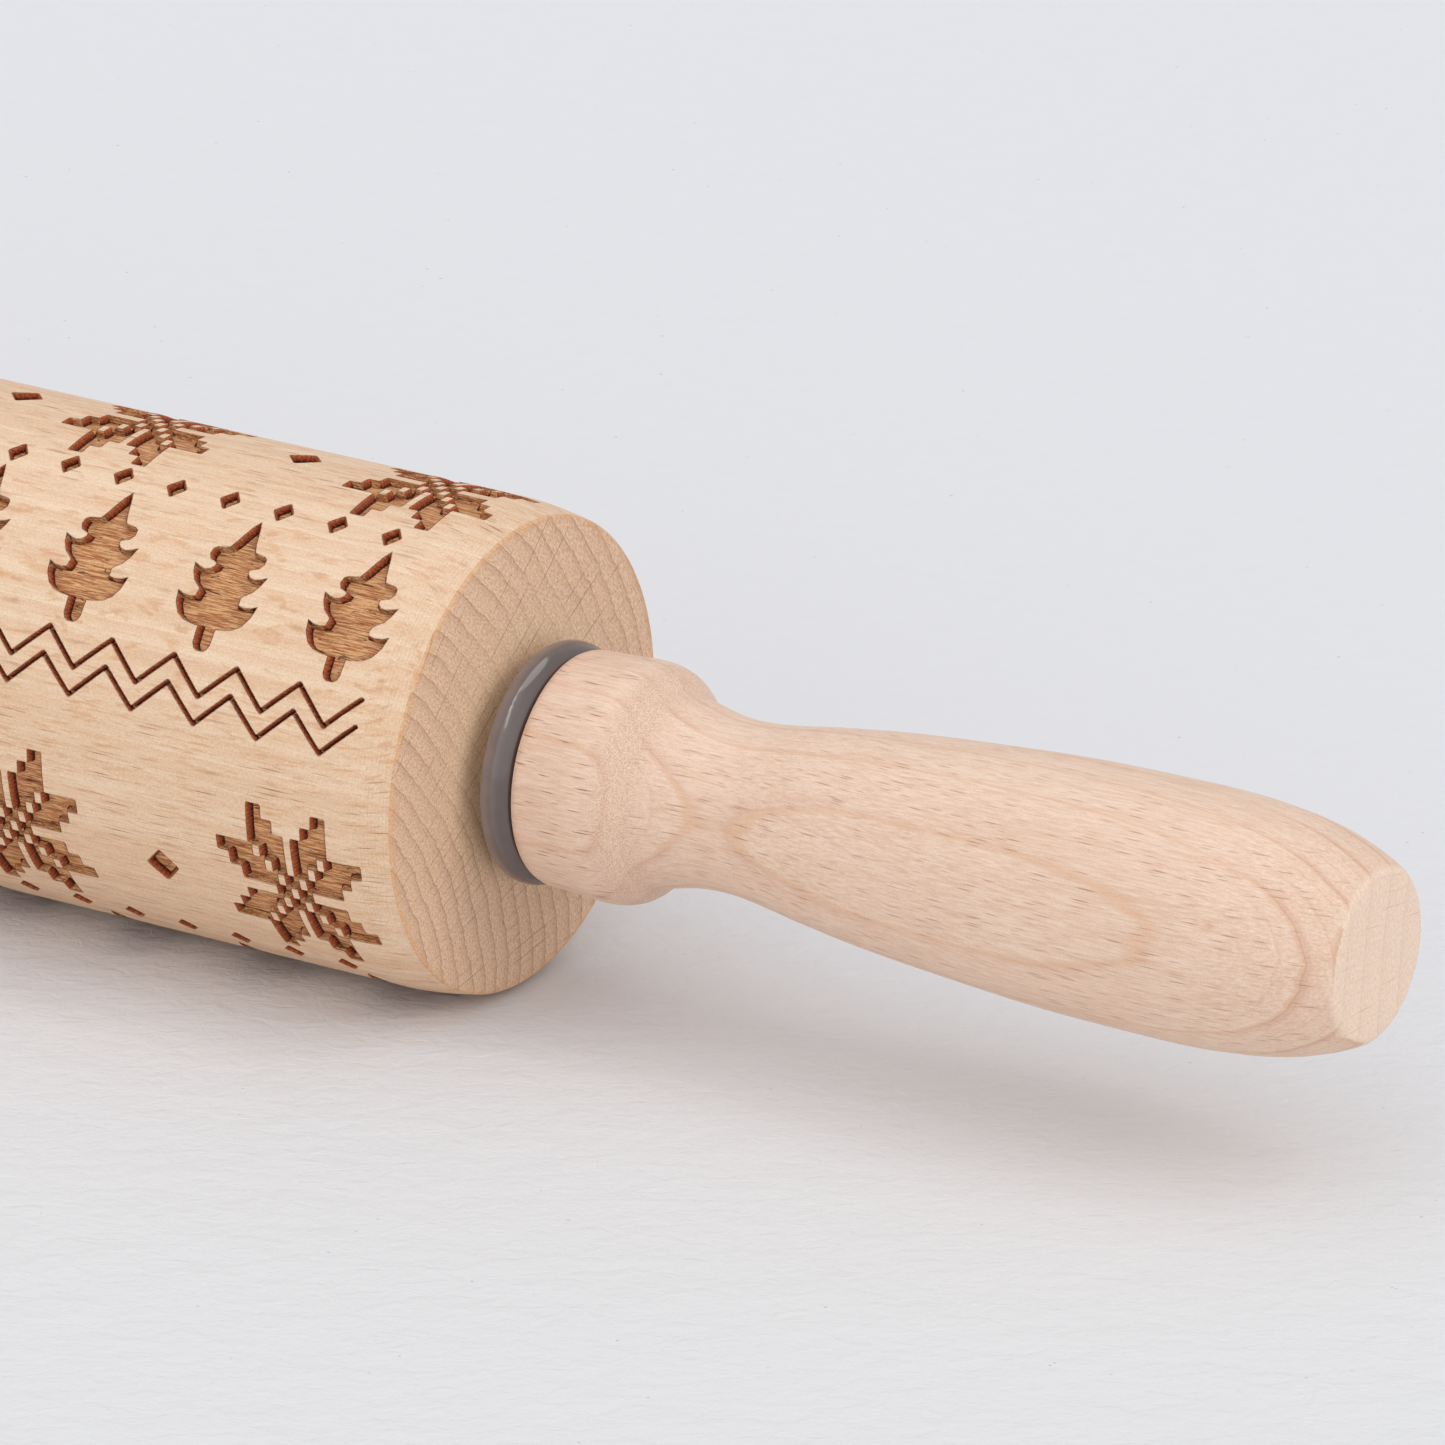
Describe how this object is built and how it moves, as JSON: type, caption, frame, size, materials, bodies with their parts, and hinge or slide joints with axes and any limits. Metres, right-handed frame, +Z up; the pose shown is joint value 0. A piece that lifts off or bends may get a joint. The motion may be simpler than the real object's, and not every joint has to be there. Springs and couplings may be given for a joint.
{
  "type": "embossing rolling pin",
  "caption": "Beech rolling pin with a pattern-engraved barrel that turns on a steel axle between two turned handles.",
  "frame": {"origin": "under the middle of the barrel, on the surface that the pin rests on", "axes": "+X along the axle towards the handle shown in the picture, +Y across, +Z up"},
  "size_m": [0.4436, 0.05, 0.05],
  "materials": {
    "barrel_beech": "fine-sanded beech, laser-engraved pattern with browned floors",
    "handle_beech": "fine-turned beech, thin clear finish",
    "ring_plastic": "smooth glossy grey plastic",
    "bush_nylon": "natural nylon",
    "axle_steel": "drawn steel rod"
  },
  "bodies": {
    "roller": {"barrel": "barrel_beech", "bearing_bush_right": "bush_nylon", "bearing_bush_left": "bush_nylon"},
    "grip": {"axle_rod": "axle_steel", "spacer_ring_right": "ring_plastic", "spacer_ring_left": "ring_plastic", "handle_right": "handle_beech", "handle_left": "handle_beech"}
  },
  "joints": [
    {"name": "roller_spin", "type": "hinge", "parent": "roller", "child": "grip", "pos_m": [0, 0, 0.025], "axis": [1, 0, 0], "continuous": true}
  ]
}
